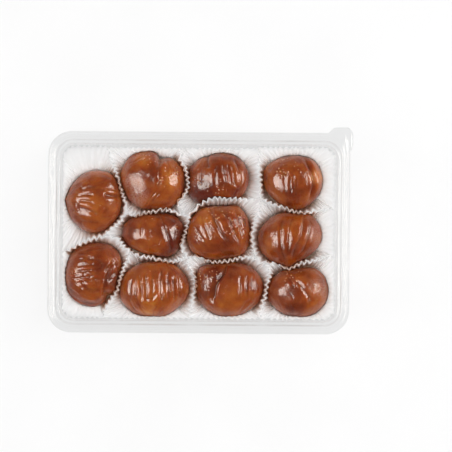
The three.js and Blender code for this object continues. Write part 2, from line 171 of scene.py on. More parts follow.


# For each chestnut: where its tip points and how far it sticks out, how light the flesh is, how strong
# the wrinkles are, its own folds, and its round patches that are light, dark, rough, dull or smooth,
# each with its place from the chestnut's middle, its radius and its strength. The dull patches are
# sugar bloom that is partly painted sheen where broad highlights fall.
CHESTNUTS = [
    {"tip": 177, "nub": 0.9, "tone": 0.53, "wrinkles": 0.8,
     "folds": [
         fold((6, 3.4), (10, 3), (17, 2.4), deep=0.9, wide=0.9),
         fold((-7, 5.8), (-2, 7.4), (4, 8.6), wide=0.9),
         fold((-7, 3), (-3, 3.4), (1, 3)),
         fold((-8.5, 0.2), (-3, -0.2), (1, -1)),
         fold((-9, -3.2), (-3, -5.2), (4, -7.4), deep=0.7, wide=0.9, step=0.25),
     ],
     "light": [(3, -4, 7, 0.2)], "rough": [(-3, 6, 5, 0.5)],
     "smooth": [(10, 7, 3, 0.7), (11, -2, 3.5, 0.7)]},
    {"tip": 255, "nub": 0.0, "tone": 0.46, "wrinkles": 0.6,
     "folds": [
         fold((3.3, 18), (3.3, 13), (3.2, 9), deep=0.6, wide=0.8, step=-0.2),
         fold((3.2, 10), (3.1, 4), (3.2, -1), (2.7, -6), deep=0.35, wide=0.8, step=-0.2),
         fold((2, -6), (-0.6, -9.4), (-3, -12.6), (-4.6, -15), wide=0.5),
         fold((3.6, -7), (1, -10.2), (-1.4, -13.4), deep=0.4, wide=0.4),
         fold((-13.5, 8), (-12.5, 0), (-9, -7), (-2, -11), deep=-0.9, wide=3.5),
     ],
     "light": [(9, 0, 7, 0.25), (-5, 11, 5, 0.3)], "dark": [(-2, 4, 6, 0.35)],
     "rough": [(3.5, 0, 2.5, 0.9), (9, 4, 7, 0.7), (-2, 12, 5, 0.6)],
     "dull_bloom_and_painted_sheen": [(-7.5, -8.5, 5, 1.0), (-12.5, -1, 4, 1.0), (-9, -4, 3.5, 0.7)],
     "smooth": [(-6, 0, 10, 0.8)]},
    {"tip": 275, "nub": 0.0, "tone": 0.28, "wrinkles": 0.8,
     "folds": [
         fold((-5.2, 15), (-5.6, 10), (-4.6, 6), deep=0.8, wide=1.0, step=0.3),
         fold((-8.8, 9), (-9.6, 2), (-9.2, -5), deep=0.35, wide=0.8),
         fold((9.2, 13), (11, 8), (12.5, 3), wide=0.9),
         fold((2.8, 9), (4, 3), (4.8, -3), wide=0.6),
         fold((5.6, 9), (6.8, 3), (7.4, -3), wide=0.6),
         fold((7.8, 8), (9, 2), (9.6, -4), wide=0.6),
         fold((-0.6, 8), (-1, 3), (-1.4, -3)),
     ],
     # the dark patch on this chestnut's lower left is painted shade
     "light": [(-7, 9, 6, 0.3), (11, 0, 4, 0.2)], "dark": [(-8, -9, 8, 0.5)],
     "rough": [(0, -3, 7, 0.5), (-9, 0, 5, 0.6)], "dull_bloom_and_painted_sheen": [(-9, 2, 3.5, 0.3)]},
    {"tip": 277, "nub": 0.8, "tone": 0.44, "wrinkles": 0.7,
     "folds": [
         fold((4.6, 16), (8.6, 10.2), (10.9, 5.5), (12.1, 0), (11.2, -6), (8, -12), deep=1.2, wide=0.9,
              step=0.3),
         fold((-1.5, 4), (-1.6, -1), (-0.9, -7), wide=0.6),
         fold((0.2, 5), (0.2, 0), (0.6, -6), wide=0.6),
         fold((2, 3), (1.9, -3), (1.6, -9), deep=0.35, wide=0.6),
     ],
     "light": [(13, 3, 4, 0.5)], "dark": [(0, -7, 6, 0.35)],
     "rough": [(-4, 8, 7, 0.9), (14, 2, 4, 0.5)], "dull_bloom_and_painted_sheen": [(15.5, 3, 4, 0.7)],
     "smooth": [(-9, -1, 4, 0.9), (6, -2, 3.5, 0.6)]},
    {"tip": 262, "nub": 0.0, "tone": 0.2, "wrinkles": 0.5,
     "folds": [
         fold((3.5, 12), (5.6, 8.5), (7.4, 4.5), (9.4, -1.5), (10.3, -6.5), (9, -12), wide=0.5,
              step=0.15),
         fold((1.6, 12), (3.9, 8), (5.7, 3.5), (7.6, -2), (8.4, -7), (7.4, -12), deep=0.0, wide=1.7,
              step=-0.6),
         fold((-6.2, 8), (-6.6, 3), (-6.4, -2), deep=0.3),
     ],
     "light": [(-3, -6, 8, 0.3), (-4, 6, 6, 0.3)], "dark": [(13, -2, 5, 0.45)],
     "rough": [(12, 3, 4, 0.5), (-2, 10, 4, 0.7)], "smooth": [(-7, 0, 7, 0.8)]},
    {"tip": 300, "nub": 0.0, "tone": 0.45, "wrinkles": 1.0,
     "folds": [
         fold((-5.6, 16), (-3.2, 9), (-0.6, 4), (2.6, -2.2), (7.2, -6.2), deep=1.0, wide=0.9, step=0.3),
         fold((2.6, 11.5), (7, 4), (10.5, -5), deep=0.7, wide=0.8),
         fold((8.4, 12.5), (11.6, 5.4), (13.2, -4), deep=0.6),
         fold((-10, 9.5), (-7.4, 2.6), (-4.2, -5), deep=0.4),
         fold((-13, 4), (-10.6, -1.6), (-7.4, -6.5), deep=0.45, wide=0.8, step=0.2),
         fold((5.5, 8), (9, 1), (11.5, -7), deep=0.4, wide=0.6),
     ],
     "light": [(-8, 8, 5, 0.35)], "dark": [(4, -10, 7, 0.2)],
     "rough": [(8, 5, 8, 0.8), (-2, 10, 6, 0.8), (-11, -2, 4, 0.5)], "smooth": [(-3, -9, 6, 0.8)]},
    {"tip": 266, "nub": 1.0, "tone": 0.48, "wrinkles": 0.8,
     "folds": [
         fold((-1.2, -14), (-4.4, -6), (-5, 4.9), (-3.2, 12), wide=0.8),
         fold((-0.4, -12), (-0.6, -3.3), (0, 7.7), (2.6, 13), deep=0.4),
         fold((0.4, -13), (3.1, -4.9), (6.6, 3.8), (8, 15), deep=0.7, wide=0.9, step=0.2),
         fold((1.1, -12.6), (7.2, -6), (10.2, 1.6), (11.5, 9), deep=0.4),
     ],
     "light": [(4, 4, 6, 0.15)], "dark": [(-2, -9, 7, 0.2)], "dull_bloom_and_painted_sheen": [(14.5, 3, 5, 0.8)],
     "smooth": [(-9, -1, 5, 0.9), (12, 2, 4, 0.5)]},
    {"tip": 174, "nub": 0.6, "tone": 0.32, "wrinkles": 1.1,
     "folds": [
         fold((9.5, -16), (7.2, -9), (8, -4), (10.2, 2.5), (12.5, 9), deep=0.9, wide=1.0, step=0.35),
         fold((-8.5, 10.6), (-3, 11.6), (2, 12), deep=0.4, wide=0.6),
         fold((-8.5, 7.6), (-3, 8.5), (2, 8.9), deep=0.4, wide=0.6),
         fold((-8.5, 4.2), (-3, 4.9), (2, 5.3), deep=0.4, wide=0.6),
         fold((-9, 1.2), (-4, 1.9), (1, 2.3), deep=0.4, wide=0.5),
         fold((-9, -2.7), (-4, -1.9), (1, -1.5), deep=0.4, wide=0.5),
         fold((-8.5, -5.2), (-3.5, -4.3), (1, -4.1), deep=0.4, wide=0.6),
         fold((12, 5.5), (9, 3.5), (7.5, 0.5), deep=0.6),
         fold((14, 1.5), (11.5, -1), (9.5, -4.5), deep=0.6),
         fold((13.5, 7.5), (15, 2), (14.5, -3), wide=0.6),
     ],
     "light": [(1, -9, 6, 0.3)], "dark": [(11, -2, 5, 0.2)], "rough": [(11, 3, 6, 0.6)]},
    {"tip": 90, "nub": 0.0, "tone": 0.6, "wrinkles": 1.1,
     "folds": [
         fold((-12.6, 6), (-13.4, 0), (-12.8, -7)),
         fold((-8.2, 9), (-7.2, 1), (-6.6, -8), deep=0.6),
         fold((-4.6, 11), (-4.4, 1), (-4, -8)),
         fold((-0.2, 12), (-0.6, 2), (-0.4, -8), deep=0.4, wide=0.8),
         fold((5.2, 14), (4, 4), (4.4, -8), deep=0.8, wide=0.8),
         fold((8.4, 11), (8.3, 1), (8.6, -7), deep=0.6),
         fold((11.2, 8), (11.6, 0), (11.8, -7), deep=0.6),
         fold((14.2, 6), (14.8, 0), (14.8, -6), wide=0.6),
     ],
     "light": [(-2, -10, 7, 0.2)], "dark": [(13, 6, 6, 0.3)], "rough": [(-4, 5, 8, 0.6)]},
    {"tip": 272, "nub": 0.0, "tone": 0.36, "wrinkles": 0.7,
     "folds": [
         fold((-1, 17), (-3, 10.5), (-6.2, 6), (-8.3, 1.8), (-9.2, -4), (-9, -9), deep=1.4, wide=1.0,
              step=0.8),
         fold((-0.5, 17), (-2.5, 10.5), (-5.6, 6), (-7.7, 1.8), (-8.6, -4), (-8.4, -9), deep=0.8,
              wide=2.6),
         fold((6.3, 9), (6.2, 3), (5.8, -5)),
         fold((9.8, 9), (9.9, 3), (9.6, -5), deep=0.4, wide=0.6),
         fold((12.2, 8), (12.5, 2), (12, -6), deep=0.4, wide=0.6),
     ],
     "light": [(3, -5, 8, 0.25), (-8, -10, 6, 0.25)], "dark": [(-7, 9, 4, 0.2)],
     "rough": [(-12, 6, 7, 1.0)], "smooth": [(2, -6, 7, 0.9)]},
    {"tip": 262, "nub": 0.0, "tone": 0.44, "wrinkles": 0.6,
     "folds": [
         fold((-1.5, 7.5), (1.2, 4), (3.6, 0.6), (5.8, -2.8), (6.2, -8.5), deep=0.8, wide=0.8,
              step=0.3),
         fold((-6.5, 9), (-4, 5.5), (-3, 2)),
         fold((-3.5, 9), (-1, 5), (-0.5, 1), deep=0.4, wide=0.6),
         fold((-6, 0), (-4, -2), (-2.5, -5), deep=0.25, wide=0.5),
     ],
     "light": [(9, -3, 6, 0.3)], "dark": [(-3, -5, 8, 0.3)], "rough": [(-2, 8, 6, 0.8)],
     "dull_bloom_and_painted_sheen": [(10, 3, 5, 0.7), (-6, -1, 4, 0.4), (14.5, 0, 4, 0.6)],
     "smooth": [(-6, -1, 6, 0.9), (10, 3, 5, 0.9)]},
]


# ---- small tools

def smooth_step(low, high, value):
    """0 up to low, 1 from high on, and smooth between them."""
    share = np.clip((value - low) / (high - low), 0, 1)
    return share * share * (3 - 2 * share)


def mix(ends, share):
    """The first of two ends at a share of 1, the second at 0."""
    return ends[1] + (ends[0] - ends[1]) * share


def wrap(angle):
    """The same angle between minus and plus half a turn."""
    return np.arctan2(np.sin(angle), np.cos(angle))


SCATTER = (73856093, 19349663, 83492791, 40503)  # factors for a point's x, y and z and the seed
STIR = 1274126177


def lattice(cells, seed):
    """A repeatable number from -1 to 1 for each whole-numbered point."""
    x, y, z = (cells[:, axis].astype(np.int64) * SCATTER[axis] for axis in range(3))
    number = x ^ y ^ z ^ (seed * SCATTER[3])
    number = ((number ^ (number >> 13)) * STIR) & 0x7FFFFFFF
    number = number ^ (number >> 16)
    return (number & 0xFFFF) / 32767.5 - 1


def noise(points, size, seed):
    """Smooth noise from -1 to 1 with lumps of about the given size."""
    place = points / size
    cells = np.floor(place)
    share = smooth_step(0, 1, place - cells)
    total = np.zeros(len(points))
    for corner in itertools.product((0, 1), repeat=3):
        weight = np.prod(np.where(corner, share, 1 - share), axis=1)
        total += weight * lattice(cells + corner, seed)
    return total


def uneven(points, *kinds, apart=0):
    """A sum of noises, each given by its size, strength and seed. apart is added to the seeds."""
    return sum(strength * noise(points, size, seed + apart) for size, strength, seed in kinds)


def between(before, start, end, after, share):
    """The point at a share of the way from start to end on a smooth curve through all four."""
    rise, next_rise = (end - before) / 2, (after - start) / 2
    bend = 3 * (end - start) - 2 * rise - next_rise
    twist = 2 * (start - end) + rise + next_rise
    return start + share * (rise + share * (bend + share * twist))


def curve_points(line, steps=8):
    """Points along a smooth curve through the given ones."""
    ends = [2 * np.array(line[0]) - line[1], *map(np.array, line), 2 * np.array(line[-1]) - line[-2]]
    share = np.linspace(0, 1, steps, endpoint=False)[:, None]
    pieces = [between(*four, share) for four in zip(ends, ends[1:], ends[2:], ends[3:])]
    return np.concatenate([*pieces, ends[-2][None]])


def ball(steps):
    """Directions and four-sided faces of a cube that is blown up into a ball."""
    edge = np.tan(np.linspace(-1, 1, steps + 1) * math.pi / 4)
    u, v = np.meshgrid(edge, edge, indexing="ij")
    index = np.arange((steps + 1) ** 2).reshape(steps + 1, steps + 1)
    quads = np.stack([index[:-1, :-1], index[1:, :-1], index[1:, 1:], index[:-1, 1:]], -1).reshape(-1, 4)
    points, faces = [], []
    for axis, sign in itertools.product(range(3), (1, -1)):
        side = np.empty((steps + 1, steps + 1, 3))
        side[..., axis] = sign
        side[..., (axis + 1) % 3] = u
        side[..., (axis + 2) % 3] = v
        faces.append((quads if sign > 0 else quads[:, ::-1]) + len(points) * index.size)
        points.append(side.reshape(-1, 3))
    points = np.concatenate(points)
    _, first, place = np.unique(points.round(6), axis=0, return_index=True, return_inverse=True)
    points = points[first] / np.linalg.norm(points[first], axis=1, keepdims=True)
    return points, place.reshape(-1)[np.concatenate(faces)]


def skin(rings):
    """Points and faces of a closed surface through anticlockwise rings, from the middle of the underside,
    up the outside and back down the inside."""
    count, sides = rings.shape[:2]
    points = np.concatenate([rings.reshape(-1, 3), rings[0].mean(0)[None], rings[-1].mean(0)[None]])
    index = np.arange(count * sides).reshape(count, sides)
    here, above = index[:-1], index[1:]
    walls = np.stack([here, np.roll(here, -1, 1), np.roll(above, -1, 1), above], -1).reshape(-1, 4)
    bottom = np.stack([np.full(sides, count * sides), np.roll(index[0], -1), index[0]], -1)
    top = np.stack([np.full(sides, count * sides + 1), index[-1], np.roll(index[-1], -1)], -1)
    return points, walls.tolist() + bottom.tolist() + top.tolist()


def add_object(name, data):
    made = bpy.data.objects.new(name, data)
    bpy.context.scene.collection.objects.link(made)
    return made


def add_piece(name, node, slot, points, faces, material, layers=None):
    """A smooth mesh that rides with the tray and stands for a node. layers are values for its points."""
    mesh = bpy.data.meshes.new(name)
    mesh.from_pydata((points * MM).tolist(), [], [list(face) for face in faces])
    mesh.shade_smooth()
    mesh.materials.append(material)
    for layer, values in (layers or {}).items():
        mesh.attributes.new(layer, "FLOAT", "POINT").data.foreach_set("value", values)
    piece = add_object(name, mesh)
    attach(piece, "root")
    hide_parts(node)


# ---- the space of each chestnut

class Nut:
    """A chestnut's place and outline, as the frame gives them."""

    def __init__(self, node):
        points = np.array([vertex.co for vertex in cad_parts[node].data.vertices]) / MM
        self.at = points[points[:, 2].argmin(), :2]
        away = np.hypot(*(points[:, :2] - self.at).T)
        self.belly = points[away.argmax(), 2]
        self.half_height = self.belly - points[:, 2].min()
        ring = np.abs(points[:, 2] - self.belly) < LEVEL_SLACK
        bearing = np.arctan2(points[ring, 1] - self.at[1], points[ring, 0] - self.at[0])
        side = np.round(bearing / (2 * math.pi) * NUT_SIDES).astype(int) % NUT_SIDES
        self.reaches = np.zeros(NUT_SIDES)
        np.maximum.at(self.reaches, side, away[ring])

    def outline(self, bearing):
        """How far the outline reaches at each bearing: a smooth curve through the frame's corners."""
        place = (bearing / (2 * math.pi) * NUT_SIDES) % NUT_SIDES
        first = np.floor(place).astype(int)
        corners = [self.reaches[(first + step) % NUT_SIDES] for step in (-1, 0, 1, 2)]
        return between(*corners, place - first) + NUT_SWELL


NUTS = [Nut(f"chestnut_{number + 1}") for number in range(len(CHESTNUTS))]

# Where the upper edges of two neighbouring cases run, in pixels of the view.
EDGES = {
    (1, 2): ((108, 150), (115, 170), (119, 180), (121, 190), (124, 198), (126, 206), (125, 213)),
    (1, 5): ((125, 213), (120, 221), (113, 227), (108, 231), (104, 236)),
    (1, 8): ((104, 236), (95, 238), (85, 242), (75, 246), (64, 251)),
    (2, 3): ((180, 148), (181, 160), (185, 168), (188, 177), (189, 186), (186, 193), (181, 199),
        (178, 206), (182, 215)),
    (2, 5): ((125, 213), (134, 216), (142, 214), (150, 212), (158, 210), (165, 209), (173, 211),
        (182, 215)),
    (3, 4): ((259, 148), (259, 165), (260, 180), (260, 190), (260, 199)),
    (3, 5): ((182, 215), (189, 215)),
    (3, 6): ((189, 215), (195, 208), (201, 203), (208, 199), (216, 197), (226, 198), (236, 198),
        (246, 199), (260, 199)),
    (4, 7): ((260, 199), (270, 203), (278, 205), (285, 207), (293, 211), (300, 213), (308, 213),
        (316, 211), (330, 209)),
    (5, 6): ((189, 215), (189, 222), (187, 229), (184, 236), (182, 243), (182, 250), (187, 258)),
    (5, 8): ((104, 236), (112, 236), (119, 240), (124, 246), (131, 252)),
    (5, 9): ((131, 252), (140, 256), (150, 257), (160, 260), (172, 262), (181, 260), (187, 258)),
    (6, 7): ((260, 199), (260, 208), (256, 218), (254, 226), (252, 234), (252, 241), (254, 249),
        (256, 258)),
    (6, 10): ((187, 258), (196, 256), (205, 259), (213, 262), (221, 262), (229, 261), (238, 258),
        (247, 257), (256, 258)),
    (7, 10): ((256, 258), (261, 262), (267, 263)),
    (7, 11): ((267, 263), (275, 263), (282, 266), (288, 269), (294, 266), (301, 263), (312, 261),
        (330, 256)),
    (8, 9): ((131, 252), (128, 259), (124, 267), (121, 276), (119, 284), (116, 292), (110, 301),
        (103, 314)),
    (9, 10): ((187, 258), (190, 268), (194, 277), (196, 285), (194, 293), (192, 301), (190, 316)),
    (10, 11): ((267, 263), (270, 272), (269, 280), (267, 288), (266, 295), (263, 303), (260, 316)),
}
# How much higher than elsewhere the first case's upper edge is along its border with the second.
RISES = {
    (2, 3): 1.8, (5, 2): 0.8, (6, 3): 2.6, (6, 7): 1.0,
    (8, 5): 0.8, (9, 5): 1.0, (10, 9): 0.8, (10, 11): 0.8,
}
# How far a case's upper edge stands back from the tray's wall at +Y.
PULLS = {2: 0.8, 3: 0.8}


def wall_inset(height):
    """How far the tray's wall lies inside the rim's outline at a height."""
    top = TRAY_HEIGHT - LEDGE_DROP
    share = np.clip((height - WALL_FOOT_HEIGHT) / (top - WALL_FOOT_HEIGHT), 0, 1)
    return WALL_FOOT_INSET + (WALL_TOP_INSET - WALL_FOOT_INSET) * share


def seen_at(pixels, height):
    """The places at a height that the view shows at pixels."""
    scale = PIXEL * (VIEW_DISTANCE + TRAY_HEIGHT - height) / VIEW_DISTANCE
    middle = np.array([IMAGE_SIDE / 2, IMAGE_SIDE / 2])
    across = ((middle - TRAY_MIDDLE_PIXEL) * PIXEL + (np.array(pixels) - middle) * scale) * (1, -1)
    return across @ VIEW_AXES.T


@functools.cache
def border(number, other_number):
    """Even bearings, how far from a chestnut's middle its border with a neighbour lies, halfway between
    their outlines, and how much further out the cases' upper edges run."""
    nut, other = NUTS[number], NUTS[other_number]
    bearing = np.linspace(-math.pi, math.pi, BORDER_STEPS)
    own = nut.outline(bearing)
    low, high = np.zeros(BORDER_STEPS), np.full(BORDER_STEPS, BORDER_FAR)
    for _ in range(BORDER_HALVINGS):
        reach = (low + high) / 2
        x = nut.at[0] - other.at[0] + reach * np.cos(bearing)
        y = nut.at[1] - other.at[1] + reach * np.sin(bearing)
        nearer = reach - own < np.hypot(x, y) - other.outline(np.arctan2(y, x))
        low, high = np.where(nearer, reach, low), np.where(nearer, high, reach)
    edge = EDGES[min(number, other_number) + 1, max(number, other_number) + 1]
    line = curve_points(seen_at(edge, CASE_TOP)) - nut.at
    facing = math.atan2(*(other.at - nut.at)[::-1])
    turned = wrap(np.arctan2(line[:, 1], line[:, 0]) - facing)
    order = np.argsort(turned)
    further = np.hypot(line[:, 0], line[:, 1]) - np.interp(wrap(turned + facing), bearing, low)
    return bearing, low, np.interp(wrap(bearing - facing), turned[order], further[order])


def borders(number, bearing, height):
    """The borders of a chestnut's space: for each the way it faces, how far off it lies at each bearing,
    a key for its zigzag, 1 or -1 at a neighbour or 0 at a wall, and how much the case's edge rises."""
    nut = NUTS[number]
    lean_share = smooth_step(nut.belly, CASE_TOP, height)
    found = []
    for other_number, other in enumerate(NUTS):
        pair = number + 1, other_number + 1
        if pair not in EDGES and pair[::-1] not in EDGES:
            continue
        way = (other.at - nut.at) / np.hypot(*(other.at - nut.at))
        bearings, low_reach, further = border(number, other_number)
        reach = np.interp(wrap(bearing), bearings, low_reach) - TOUCH
        reach = reach + lean_share * np.interp(wrap(bearing), bearings, further)
        sign = 1 if number < other_number else -1
        found.append((way, reach, PAIR_KEY * min(pair) + max(pair), sign, RISES.get(pair, 0)))
    inset = wall_inset(height) + TOUCH
    radius = RIM_CORNER - CORNER_LOSS * inset
    for eighth in range(8):
        way = np.array([math.cos(eighth * math.pi / 4), math.sin(eighth * math.pi / 4)])
        facing = np.clip(way[0] * np.cos(bearing) + way[1] * np.sin(bearing), FLATTEST, None)
        straight = abs(way[0]) * (TRAY_LENGTH / 2 - inset - radius)
        straight = straight + abs(way[1]) * (TRAY_WIDTH / 2 - inset - radius)
        pull = PULLS.get(number + 1, 0) * lean_share if eighth == 2 else 0
        reach = (straight + radius - way @ nut.at - pull) / facing
        found.append((way, reach, WALL_KEY + PAIR_KEY * eighth + number, 0, 0))
    return found


def space(number, bearing, height):
    """How far a chestnut's own space reaches at each bearing and height, with softly rounded corners."""
    total = CASE_SPREAD ** -CORNER_SOFTNESS
    for _, reach, _, _, _ in borders(number, bearing, height):
        total = total + np.maximum(reach, 1.0) ** -CORNER_SOFTNESS
    return total ** (-1 / CORNER_SOFTNESS)


def zigzag(along, key):
    """An uneven zigzag from about -1 to 1 along a border."""
    line = np.stack([along, np.full(len(along), BORDER_APART * key), np.zeros(len(along))], 1)
    phase = 2 * math.pi * along / FLUTE_PITCH + uneven(line, FLUTE_DRIFT)
    size = 1.0 + uneven(line, FLUTE_UNEVENNESS)
    return size * 2 / math.pi * np.arcsin(FLUTE_SHARPNESS * np.sin(phase))


def flutes(number, bearing):
    """At each bearing, the flutes' zigzag, 1 on an outer ridge, how far the border is a neighbour's, and
    how much the edge rises. Neighbours' flutes lie in each other."""
    nut = NUTS[number]
    total = np.full(len(bearing), CASE_SPREAD ** -CORNER_SOFTNESS)
    value, shared, rise = np.zeros(len(bearing)), np.zeros(len(bearing)), np.zeros(len(bearing))
    for way, reach, key, sign, height in borders(number, bearing, CASE_TOP):
        weight = np.maximum(reach, 1.0) ** -CORNER_SOFTNESS
        across = np.sin(bearing) * way[0] - np.cos(bearing) * way[1]
        along = nut.at[1] * way[0] - nut.at[0] * way[1] + reach * across
        value += weight * (sign or 1) * zigzag(along * (sign or 1), key)
        shared += weight * abs(sign)
        rise += weight * height
        total += weight
    return value / total, shared / total, rise / total


# ---- the shape of a chestnut

# Size, height and seed of a relief or tone. Where it says so, the chestnut's number is added to the seed.
LUMPS = ((13.0, 0.5, 0), (6.0, 0.25, 0), (3.0, 0.10, 0))  # with the number: the flesh's unevenness
BUBBLES = ((1.7, 0.25, 50), (1.0, 0.14, 50))  # with the number: on the rough patches
WAVES = (3.0, 0.16, 61)  # between the wrinkles
TONES = ((5.5, 0.22, 70), (2.4, 0.14, 71))  # lighter and darker flesh
WRINKLE_WANDER = (8.0, 1.3, 20)  # with the number: how the wrinkles swing sideways
WRINKLE_SPELLS = (9.0, 1.0, 40)  # with the number: where they come and go
WRINKLES = ((3.4, 0.42), (2.0, 0.2))  # their sizes and depths
WRINKLE_SEED = 60
WRINKLE_STRETCH = 3.2  # how much longer than wide they are
WRINKLE_NARROWNESS = 0.16  # a lower number narrows them
WRINKLE_FADE = 0.35  # how gently they come and go
WRINKLE_LEAST = 0.2  # their strength where they are weakest
WRINKLE_PAINTED_SHADE = 0.7  # how dark the painted shade in them is, compared with a fold's
BODIES_APART = 100  # steps in the noise that keep two chestnuts unlike
NUT_NOISE_ROW = 31.0  # the same for their wrinkles
FOLD_TAPER = 0.22  # share of a fold's length over which an end fades
FOLD_FLOOR = 0.25  # half-width of its floor, as a share of its width
FOLD_LIPS = (2.2, 1.3, 0.25)  # how far off its lips are, how wide and high, as shares
STEP_REACH = 4.0  # how far a step reaches, in widths
DARKEST_FOLD = 1.2  # folds from this depth on get the darkest painted shade


def beside(line, x, y):
    """Each place's distance from a curve, 1 or -1 for left or right of it, and the share of the curve's
    length at the nearest point."""
    points = curve_points(line)
    best = np.full(len(x), 1e9)
    side, share = np.ones(len(x)), np.zeros(len(x))
    for number, (start, end) in enumerate(zip(points, points[1:])):
        way = end - start
        length = np.hypot(*way)
        along = np.clip(((x - start[0]) * way[0] + (y - start[1]) * way[1]) / length ** 2, 0, 1)
        off_x, off_y = x - start[0] - along * way[0], y - start[1] - along * way[1]
        distance = np.hypot(off_x, off_y)
        nearer = distance < best
        best = np.where(nearer, distance, best)
        side = np.where(nearer, np.sign(way[0] * off_y - way[1] * off_x), side)
        share = np.where(nearer, (number + along) / (len(points) - 1), share)
    return best, side, share


def groove(distance, wide):
    """1 in the bottom of a V-shaped groove with a soft floor, falling to 0 beside it."""
    floor = FOLD_FLOOR * wide
    return np.exp((floor - np.sqrt(distance ** 2 + floor ** 2)) / wide)


def own_folds(look, x, y):
    """Relief of a chestnut's own folds, and how deep in a fold each place is, for painted shade in the
    folds.
    """
    relief, painted_crease_shade = np.zeros(len(x)), np.zeros(len(x))
    lips_off, lips_wide, lips_high = FOLD_LIPS
    for one in look["folds"]:
        distance, side, share = beside(one["line"], x, y)
        wide = one["wide"]
        taper = smooth_step(0, FOLD_TAPER, share) * smooth_step(0, FOLD_TAPER, 1 - share)
        cut = groove(distance, wide) * taper
        lips = np.exp(-(((distance - lips_off * wide) / (lips_wide * wide)) ** 2)) * taper
        step = np.tanh(side * distance / wide) * np.exp(-((distance / (STEP_REACH * wide)) ** 2)) * taper
        relief += one["deep"] * (lips_high * lips - cut) + one["step"] * step
        painted_crease_shade = np.maximum(painted_crease_shade, cut * min(1, one["deep"] / DARKEST_FOLD))
    return relief, painted_crease_shade


def wrinkles(look, unit, body, number):
    """Relief of the wrinkles that run from tip to base, and how deep in one each place is, for painted
    shade in them.
    """
    bearing = math.radians(look["tip"])
    tip = np.array([math.cos(bearing), math.sin(bearing), 0])
    sideways = np.array([math.sin(bearing), -math.cos(bearing), 0])
    size = np.linalg.norm(body, axis=1).mean()
    around = np.arctan2(unit @ sideways, unit[:, 2]) * size + uneven(body, WRINKLE_WANDER, apart=number)
    along = unit @ tip * size / WRINKLE_STRETCH
    place = np.stack([around, along, np.full(len(unit), NUT_NOISE_ROW * number)], 1)
    strength = smooth_step(-WRINKLE_FADE, WRINKLE_FADE, uneven(body, WRINKLE_SPELLS, apart=number))
    strength = (strength * (1 - WRINKLE_LEAST) + WRINKLE_LEAST) * look["wrinkles"]
    relief, painted_crease_shade = np.zeros(len(unit)), np.zeros(len(unit))
    for wide, deep in WRINKLES:
        valley = np.exp(-np.abs(noise(place, wide, WRINKLE_SEED)) / WRINKLE_NARROWNESS)
        relief -= deep * valley
        painted_crease_shade = np.maximum(painted_crease_shade, valley * deep / WRINKLES[0][1])
    return (relief + uneven(place, WAVES)) * strength, painted_crease_shade * strength


def patches(look, kind, x, y):
    """How strongly each place lies in the patches of one kind."""
    total = np.zeros(len(x))
    for middle_x, middle_y, radius, amount in look.get(kind, ()):
        away = np.hypot(x - middle_x, y - middle_y) / radius
        total += amount * np.exp(-(away ** 4))
    return total


def settle(number, bearing, points):
    """Keep a chestnut's points inside its paper case, and put it on the case's floor."""
    nut = NUTS[number]
    wide = np.hypot(points[:, 0], points[:, 1])
    room = space(number, bearing, nut.belly + points[:, 2]) - PAPER - SLACK - TOUCH
    points[:, :2] *= np.minimum(1, room / np.maximum(wide, 1e-6))[:, None]
    low = points[:, 2] < 0
    points[low, 2] *= (nut.belly - NUT_REST) / -points[:, 2].min()
    points += (*nut.at, nut.belly)


def chestnut(number, unit):
    """Points of a chestnut and the layers that colour it."""
    nut, look = NUTS[number], CHESTNUTS[number]
    bearing = np.arctan2(unit[:, 1], unit[:, 0])
    level = np.arcsin(np.clip(unit[:, 2], -1, 1))
    off_tip = wrap(bearing - math.radians(look["tip"])) / NUB_WIDTH
    nub = look["nub"] * np.exp(-(off_tip ** 2) - (level / NUB_HEIGHT) ** 2)
    reach = (nut.outline(bearing) + nub) * np.cos(level) ** NUT_FULLNESS
    x, y = reach * np.cos(bearing), reach * np.sin(bearing)
    body = np.stack([x, y, np.sin(level) * nut.half_height], 1)
    upper = smooth_step(*UPPER_SIDE, unit[:, 2])
    calm_belly = 1 - CALM_BELLY[1] * np.exp(-((unit[:, 2] / CALM_BELLY[0]) ** 2))
    rough = patches(look, "rough", x, y) * upper
    calm = 1 - np.clip(patches(look, "smooth", x, y), 0, 1) * upper
    folds, painted_crease_shade = own_folds(look, x, y)
    wrinkle, painted_wrinkle_shade = wrinkles(look, unit, body, number)
    place = body + BODIES_APART * number
    bubbles = sum(np.abs(uneven(place, kind, apart=number)) for kind in BUBBLES)
    relief = (wrinkle * calm + uneven(place, *LUMPS, apart=number)) * calm_belly
    relief += folds * upper + bubbles * rough
    points = body + relief[:, None] * body / np.linalg.norm(body, axis=1, keepdims=True)
    settle(number, bearing, points)
    tone = look["tone"] + patches(look, "light", x, y) - patches(look, "dark", x, y)
    layers = {
        # painted shade in the folds and wrinkles
        "painted_crease_shade": np.clip(np.maximum(painted_crease_shade * upper, WRINKLE_PAINTED_SHADE * painted_wrinkle_shade * calm), 0, 1),
        "tone": tone + uneven(place, *TONES),
        # dull patches: partly sugar bloom, partly painted sheen
        "dull_bloom_and_painted_sheen": np.clip(patches(look, "dull_bloom_and_painted_sheen", x, y), 0, 1) * upper,
        "rough": np.clip(rough, 0, 1),
        "calm": 1 - calm,
    }
    return points, layers


# ---- the shape of a paper case

def even_bearings(number, count):
    """Bearings whose rays meet a case's upper edge at even distances."""
    tries = np.linspace(0, 2 * math.pi, EDGE_STEPS)
    reach = space(number, tries, CASE_TOP)
    x, y = reach * np.cos(tries), reach * np.sin(tries)
    length = np.concatenate([[0], np.cumsum(np.hypot(np.diff(x), np.diff(y)))])
    return np.interp(np.arange(count) / count * length[-1], length, tries)


